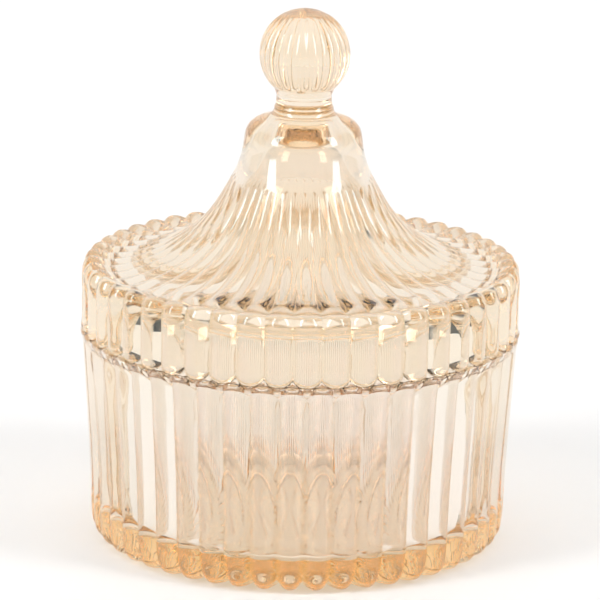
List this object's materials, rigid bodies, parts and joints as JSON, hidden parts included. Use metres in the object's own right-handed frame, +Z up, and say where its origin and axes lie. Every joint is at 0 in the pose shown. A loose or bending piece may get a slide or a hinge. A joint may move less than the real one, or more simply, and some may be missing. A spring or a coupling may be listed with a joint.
{
  "type": "apothecary jar",
  "caption": "Lidded apothecary jar in tinted pressed glass: round ribbed body with a solid base, and a lift-off fluted bell-shaped lid with a ball knob.",
  "frame": {"origin": "centre of the underside, on the plane the jar stands on", "axes": "+Z up along the jar's axis through the knob; the jar is round, and a body rib valley and a lid rib crest lie on +X"},
  "size_m": [0.1058, 0.1058, 0.1293],
  "materials": {
    "body_glass": "clear champagne-amber pressed glass with a faint pink lustre, polished",
    "lid_glass": "clear champagne-amber pressed glass with a faint pink lustre, polished"
  },
  "bodies": {
    "jar": {"jar_body": "body_glass"},
    "lid": {"lid": "lid_glass"}
  },
  "joints": [
    {"name": "lid_lift", "type": "slide", "parent": "jar", "child": "lid", "axis": [0, 0, 1], "range_m": [0, 0.12]}
  ]
}
